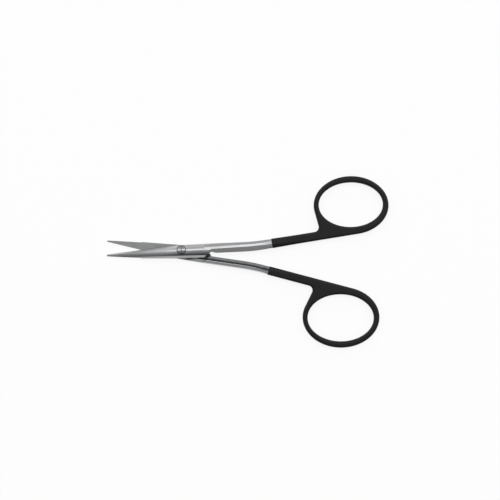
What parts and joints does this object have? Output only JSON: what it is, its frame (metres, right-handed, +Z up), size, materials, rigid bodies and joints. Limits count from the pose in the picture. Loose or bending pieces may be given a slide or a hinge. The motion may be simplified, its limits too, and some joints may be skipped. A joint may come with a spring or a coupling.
{
  "type": "surgical scissors",
  "caption": "Straight surgical dissecting scissors with tapered pointed blades, a screw joint and oval finger rings with a thin black coat.",
  "frame": {"origin": "on the pivot axis, at the flat end of the pivot screw, which is the lowest point of the scissors when they lie down", "axes": "+X from the pivot towards the finger rings along the line that halves the opening angle, +Y towards the front half's ring, +Z up towards the slotted screw head"},
  "size_m": [0.1134, 0.0699, 0.0038],
  "materials": {
    "satin_steel": "fine satin grind, brighter on the ridges",
    "black_coat": "matt black thin coat",
    "screw_steel": "turned and lightly polished"
  },
  "bodies": {
    "rear": {"rear_half": "satin_steel", "rear_handle_coat": "black_coat", "pivot_screw": "screw_steel"},
    "front": {"front_half": "satin_steel", "front_handle_coat": "black_coat"}
  },
  "joints": [
    {"name": "scissor_pivot", "type": "hinge", "parent": "rear", "child": "front", "pos_m": [0, 0, 0.00195], "axis": [0, 0, 1], "range_deg": [-10.8, 50]}
  ]
}
